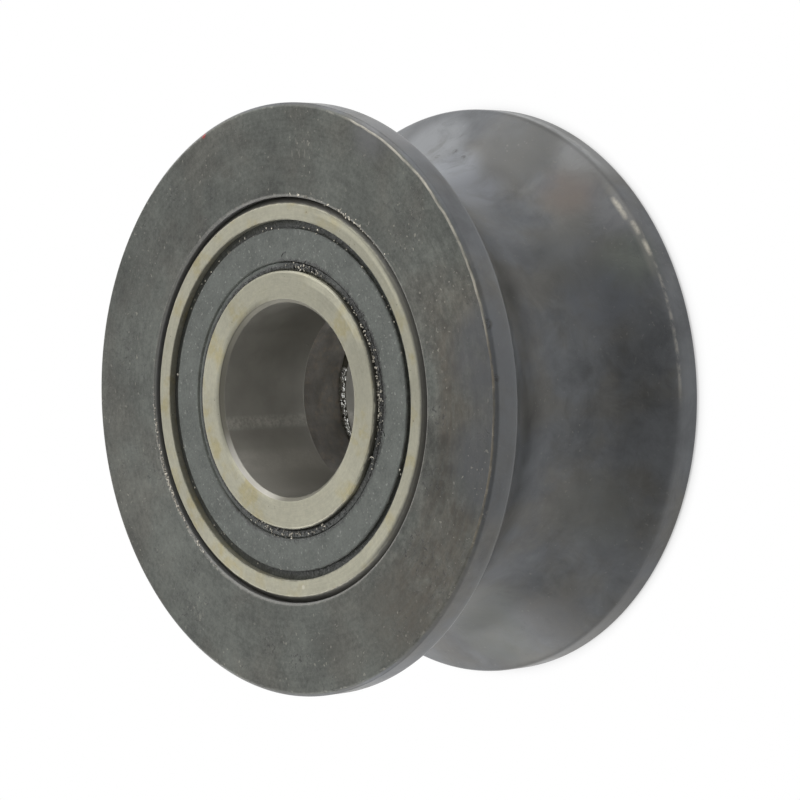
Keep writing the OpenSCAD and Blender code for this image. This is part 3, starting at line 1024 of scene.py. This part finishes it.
class WHEEL_OT_rings(bpy.types.Operator):
    """Turns the inner and outer rings of both bearings"""

    bl_idname = "wheel.rings"
    bl_label = "Bearing rings"

    def execute(self, context):
        look = settings()
        steel = RingSteel(look).finished()
        for kind, body, outline in (
            ("outer", "wheel", outer_ring_outline(look.bearing, look.seal)),
            ("inner", "hub", inner_ring_outline(look.bearing)),
        ):
            ring = turn(outline)
            for side in SIDES:
                bm = ring.copy()
                place_in_seat(bm, side, look.bearing.centre)
                node = f"{side}_{kind}_ring"
                add_piece(bm, f"ground_{node}", steel, body, node)
            ring.free()
        return {"FINISHED"}


class WHEEL_OT_seals(bpy.types.Operator):
    """Moulds the four rubber seals"""

    bl_idname = "wheel.seals"
    bl_label = "Seals"

    def execute(self, context):
        look = settings()
        rubber = seal_rubber(look)
        seal = turn(seal_outline(look.bearing, look.seal))
        for side in SIDES:
            for place in ("face", "rib"):
                bm = seal.copy()
                if place == "rib":
                    turn_over(bm)
                place_in_seat(bm, side, look.bearing.centre)
                node = f"{side}_{place}_seal"
                add_piece(bm, f"moulded_{node}", rubber, "wheel", node)
        seal.free()
        return {"FINISHED"}


# rows of faces on each half of the spacer's walls
SPACER_ROWS = 8
# size of the lumps of scale, then how the finer layers fade, how much finer each is, how many there are
SCALE_SIZE = 0.9 * MM
SCALE_LAYERS = (0.7, 2.0, 4)


class WHEEL_OT_spacer(bpy.types.Operator):
    """Cuts the rough spacer tube between the inner rings"""

    bl_idname = "wheel.spacer"
    bl_label = "Spacer"

    def execute(self, context):
        look = settings()
        size = look.spacer
        inside = size.outside - size.wall
        rows = [i / SPACER_ROWS for i in range(SPACER_ROWS - 1, -SPACER_ROWS, -1)]
        reach = size.half_width - size.bevel
        outline = [
            (inside + size.bevel, size.half_width, 0),
            (size.outside - size.bevel, size.half_width, 0),
            *[(size.outside, row * reach, 0) for row in rows],
            (size.outside - size.bevel, -size.half_width, 0),
            (inside + size.bevel, -size.half_width, 0),
            *[(inside, -row * reach, 0) for row in rows],
        ]
        bm = turn(outline)
        for vert in bm.verts:
            if abs(vert.co.z) < size.half_width - size.bevel / 2:
                out = Vector((vert.co.x, vert.co.y, 0)).normalized()
                lump = noise.fractal(vert.co / SCALE_SIZE, *SCALE_LAYERS)
                away = 1 if vert.co.xy.length > size.outside - size.wall / 2 else -1
                vert.co -= out * away * size.roughness * abs(lump)
        add_piece(bm, "sawn_spacer", spacer_scale(look), "hub", "spacer_ring")
        return {"FINISHED"}


# half the thickness of a curled thread, and the degrees between its cross-sections
THREAD_RADIUS = 0.045 * MM
THREAD_STEP = 12


class WHEEL_OT_grit(bpy.types.Operator):
    """Scatters the swarf and the beads of old grease, and tears the burr on the spacer's edge"""

    bl_idname = "wheel.grit"
    bl_label = "Swarf, grease and burr"

    def execute(self, context):
        look = settings()
        at = bearing_radii(look.bearing)
        face = look.bearing.centre + look.bearing.half_width
        lip = at["lip_land"] + look.seal.gap + look.seal.lip / 2
        channel = at["mouth"] - look.seal.channel
        seat = look.bearing.outside + look.wheel.seat_bevel
        wheel_face = look.wheel.half_width
        dice = random.Random(19)
        swarf, grease, burr = bmesh.new(), bmesh.new(), bmesh.new()

        # how many chips, the middle and half of their sector, their radius and its spread, and height
        for count, middle, half, radius, spread, height in (
            (110, 285, 38, lip - 0.28 * MM, 0.2 * MM, face - 0.48 * MM),
            (40, 270, 34, lip, 0.5 * MM, face - 0.52 * MM),
            (34, 345, 14, lip, 0.35 * MM, face - 0.52 * MM),
            (60, 175, 34, lip, 0.5 * MM, face - 0.52 * MM),
            (70, 20, 180, channel + 0.1 * MM, 0.5 * MM, face - 0.5 * MM),
            (150, 115, 30, seat - 0.15 * MM, 0.25 * MM, wheel_face - 0.05 * MM),
            (60, 330, 26, seat, 0.25 * MM, wheel_face - 0.02 * MM),
        ):
            for _ in range(count):
                angle = radians(dice.triangular(middle - half, middle + half))
                self.lump(swarf, dice, angle, dice.gauss(radius, spread / 2), height, 0.1 * MM, 0.6)
        # how many beads, and the middle and half of their sector
        for count, middle, half in ((60, 270, 34), (20, 345, 9), (34, 188, 36)):
            for _ in range(count):
                angle = radians(dice.triangular(middle - half, middle + half))
                place = dice.gauss(lip, 0.16 * MM)
                self.lump(grease, dice, angle, place, face - 0.55 * MM, 0.16 * MM, 0.45)
        # one curled thread of swarf and two of grease
        self.curl(swarf, radians(242), at["lip_land"] + 0.6 * MM, face - 0.35 * MM, 0.5 * MM, 210)
        self.curl(grease, radians(356.6), lip + 0.8 * MM, face - 0.38 * MM, 0.9 * MM, 70)
        self.curl(grease, radians(254), lip + 0.7 * MM, face - 0.38 * MM, 0.45 * MM, 300)
        # the torn burr along a part of the spacer's rear inner edge
        inside = look.spacer.outside - look.spacer.wall - 0.05 * MM
        for _ in range(130):
            angle = radians(dice.uniform(72, 116))
            height = dice.uniform(-0.35, 0.3) * MM - look.spacer.half_width
            self.lump(burr, dice, angle, inside, height, 0.26 * MM, 0.9)

        chips = torn_steel("Bright swarf", 0.8, look.colours.worn, 0.5, 1.5)
        torn = torn_steel("Torn burr", 1.0, look.colours.burr, 0.6, 1.1)
        add_piece(swarf, "bright_swarf", chips, "wheel")
        add_piece(grease, "grease_beads", old_grease(look), "wheel")
        add_piece(burr, "spacer_burr", torn, "hub")
        return {"FINISHED"}

    def lump(self, bm, dice, angle, radius, height, size, flat):
        """One small angular grain, half sunk in what it sticks to."""
        size *= dice.uniform(0.5, 1.5)
        shape = Matrix.Diagonal((size * dice.uniform(0.7, 1.6), size, size * flat, 1))
        turned = Matrix.Rotation(dice.uniform(0, tau), 4, "Z")
        turned = turned @ Matrix.Rotation(dice.uniform(-0.5, 0.5), 4, "X")
        place = Matrix.Translation((radius * cos(angle), radius * sin(angle), height))
        bmesh.ops.create_icosphere(bm, subdivisions=1, radius=1, matrix=place @ turned @ shape)

    def curl(self, bm, angle, radius, height, bend, sweep):
        """A bent thread, lying on the seal."""
        ring = bmesh.ops.create_circle(
            bm, segments=6, radius=THREAD_RADIUS, cap_ends=False,
            matrix=Matrix.Translation((bend, 0, 0)) @ Matrix.Rotation(pi / 2, 4, "X"),
        )["verts"]
        edges = list({e for v in ring for e in v.link_edges})
        swept = bmesh.ops.spin(
            bm, geom=ring + edges, cent=(0, 0, 0), axis=(0, 0, 1),
            angle=radians(sweep), steps=round(sweep / THREAD_STEP),
        )
        ends = [edges, [g for g in swept["geom_last"] if isinstance(g, bmesh.types.BMEdge)]]
        for loop in ends:
            bmesh.ops.contextual_create(bm, geom=loop)
        thread = set(ring)
        wave = set(ring)
        while wave:
            wave = {e.other_vert(v) for v in wave for e in v.link_edges} - thread
            thread |= wave
        place = Matrix.Translation((radius * cos(angle), radius * sin(angle), height))
        bmesh.ops.transform(bm, matrix=place @ Matrix.Rotation(angle, 4, "Z"), verts=list(thread))
        bmesh.ops.recalc_face_normals(bm, faces=list({f for v in thread for f in v.link_faces}))


class WHEEL_OT_inner_parts(bpy.types.Operator):
    """Finishes the balls, cages, rivets and washers that the frame carries"""

    bl_idname = "wheel.inner_parts"
    bl_label = "Parts inside the bearings"

    def execute(self, context):
        finishes = {
            "ball": machine_steel("Lapped ball steel", (0.62, 0.62, 0.62), 0.08, 1),
            "rivets": machine_steel("Rivet steel", (0.5, 0.49, 0.46), 0.3, 3),
            "cage": machine_steel("Pressed cage steel", (0.42, 0.41, 0.38), 0.35, 2),
            "insert": machine_steel("Washer steel", (0.38, 0.37, 0.35), 0.4, 4),
        }
        for name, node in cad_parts.items():
            for word, steel in finishes.items():
                if word in name:
                    for slot in node.material_slots:
                        slot.material = steel
                    break
        return {"FINISHED"}


# ---- stage ----

# azimuth, elevation and strength of each soft light panel
PANELS = (
    (0, 14, 1.19), (45, 14, 1.0), (90, 14, 0.57), (135, 14, 1.58), (180, 14, 0.67),
    (-135, 14, 0.36), (-90, 14, 0.34), (-45, 14, 0.5), (30, 48, 0.54),
)
# a panel is at full strength within the first angle from its middle and gone past the second
PANEL_CORE, PANEL_END = radians(8), radians(42)
FLOOR_COLOUR = (0.86, 0.86, 0.86, 1)
# how far round a point of the floor the wheel can shade it
SHADE_REACH = 8 * MM


def white_for_sight(wiring, plain, share):
    """Shader that is white to the camera and in reflections, and plain to other rays."""
    rays = wiring.node("ShaderNodeLightPath").outputs
    sight = Pattern(wiring, rays["Is Camera Ray"]) | rays["Is Glossy Ray"] | rays["Is Transmission Ray"]
    white = wiring.pattern("ShaderNodeEmission", 0)
    return wiring.pattern("ShaderNodeMixShader", 0, {0: sight * share, 1: plain, 2: white})


def floor_finish():
    """White floor that still takes a soft shadow close to the wheel."""
    material = bpy.data.materials.new("White floor")
    material.use_nodes = True
    material.node_tree.nodes.clear()
    wiring = Wiring(material.node_tree)
    plain = wiring.pattern("ShaderNodeBsdfDiffuse", 0, {"Color": FLOOR_COLOUR})
    clear = wiring.pattern("ShaderNodeAmbientOcclusion", "AO", {"Distance": SHADE_REACH})
    inputs = {"Value": clear, "From Min": 0.2, "From Max": 0.65, "To Min": 0.4, "To Max": 1.0}
    share = wiring.pattern("ShaderNodeMapRange", 0, inputs)
    surface = white_for_sight(wiring, plain, share)
    wiring.node("ShaderNodeOutputMaterial", {"Surface": surface})
    return material


class WHEEL_OT_stage(bpy.types.Operator):
    """Sets the floor, the room's light and the camera"""

    bl_idname = "wheel.stage"
    bl_label = "Stage"

    def execute(self, context):
        size = settings().stage
        self.lay_floor(size)
        self.light_room(size)
        self.set_camera(size)
        context.scene.view_settings.view_transform = "Standard"
        return {"FINISHED"}

    def lay_floor(self, size):
        """A floor under the wheel's rear face."""
        bm = bmesh.new()
        bmesh.ops.create_grid(bm, x_segments=1, y_segments=1, size=size.floor / 2)
        lift(bm, cad_bounds[0][2])
        make_object(bm, "floor", floor_finish())

    def light_room(self, size):
        """A room that is white to the eye, lit by soft panels that stand low round the wheel."""
        world = bpy.data.worlds.new("Room")
        bpy.context.scene.world = world
        world.use_nodes = True
        world.node_tree.nodes.clear()
        wiring = Wiring(world.node_tree)
        outlook = wiring.pattern("ShaderNodeTexCoord", "Generated")
        total = None
        for azimuth, elevation, strength in PANELS:
            side, rise = radians(azimuth), radians(elevation)
            line = (cos(rise) * cos(side), cos(rise) * sin(side), sin(rise))
            aim = wiring.vector("DOT_PRODUCT", "Value", {0: outlook, 1: line})
            panel = aim.span(cos(PANEL_END), cos(PANEL_CORE), 0.0, strength * size.room)
            total = total + panel if total else panel
        seen = wiring.pattern("ShaderNodeLightPath", "Is Camera Ray")
        light = wiring.pattern("ShaderNodeBackground", 0, {"Strength": seen.choose(total, 1.0)})
        wiring.node("ShaderNodeOutputWorld", {"Surface": light})

    def set_camera(self, size):
        """A camera that looks down on the wheel from one side."""
        data = bpy.data.cameras.new("camera")
        data.lens = size.lens
        data.sensor_width = 36.0
        data.clip_start = 0.01
        data.clip_end = 20.0
        level = cos(size.elevation)
        back = Vector((level * cos(size.azimuth), level * sin(size.azimuth), sin(size.elevation)))
        facing = back.to_track_quat("Z", "Y").to_matrix().to_4x4()
        place = Matrix.Translation(Vector(size.aim) + back * size.distance)
        camera = bpy.data.objects.new("camera", data)
        camera.matrix_world = place @ facing @ Matrix.Rotation(size.roll, 4, "Z")
        bpy.context.scene.collection.objects.link(camera)
        bpy.context.scene.camera = camera


# ---- add-on ----

STEPS_IN_ORDER = (
    WHEEL_OT_body, WHEEL_OT_rings, WHEEL_OT_seals, WHEEL_OT_spacer, WHEEL_OT_grit,
    WHEEL_OT_inner_parts, WHEEL_OT_stage,
)


class WheelLook(bpy.types.PropertyGroup):
    """All groups of sizes and colours."""

    wheel: PointerProperty(type=WheelSizes)
    bearing: PointerProperty(type=BearingSizes)
    seal: PointerProperty(type=SealSizes)
    spacer: PointerProperty(type=SpacerSizes)
    colours: PointerProperty(type=Colours)
    stage: PointerProperty(type=StageSizes)


class WHEEL_PT_panel(bpy.types.Panel):
    """Lists the sizes, the colours and the pieces"""

    bl_idname = "WHEEL_PT_panel"
    bl_label = "V groove wheel"
    bl_space_type = "VIEW_3D"
    bl_region_type = "UI"
    bl_category = "Wheel"

    def draw(self, context):
        for operator in STEPS_IN_ORDER:
            self.layout.operator(operator.bl_idname)
        for name, group in GROUPS.items():
            box = self.layout.box()
            box.label(text=name.capitalize())
            for key in group.__annotations__:
                box.prop(getattr(context.scene.wheel_look, name), key)


CLASSES = (*GROUPS.values(), WheelLook, *STEPS_IN_ORDER, WHEEL_PT_panel)


def register():
    for cls in CLASSES:
        bpy.utils.register_class(cls)
    bpy.types.Scene.wheel_look = PointerProperty(type=WheelLook)


def unregister():
    del bpy.types.Scene.wheel_look
    for cls in reversed(CLASSES):
        bpy.utils.unregister_class(cls)


def main():
    """Builds every piece and the stage."""
    register()
    bpy.ops.wheel.body()
    bpy.ops.wheel.rings()
    bpy.ops.wheel.seals()
    bpy.ops.wheel.spacer()
    bpy.ops.wheel.grit()
    bpy.ops.wheel.inner_parts()
    bpy.ops.wheel.stage()


if __name__ == "__main__":
    main()
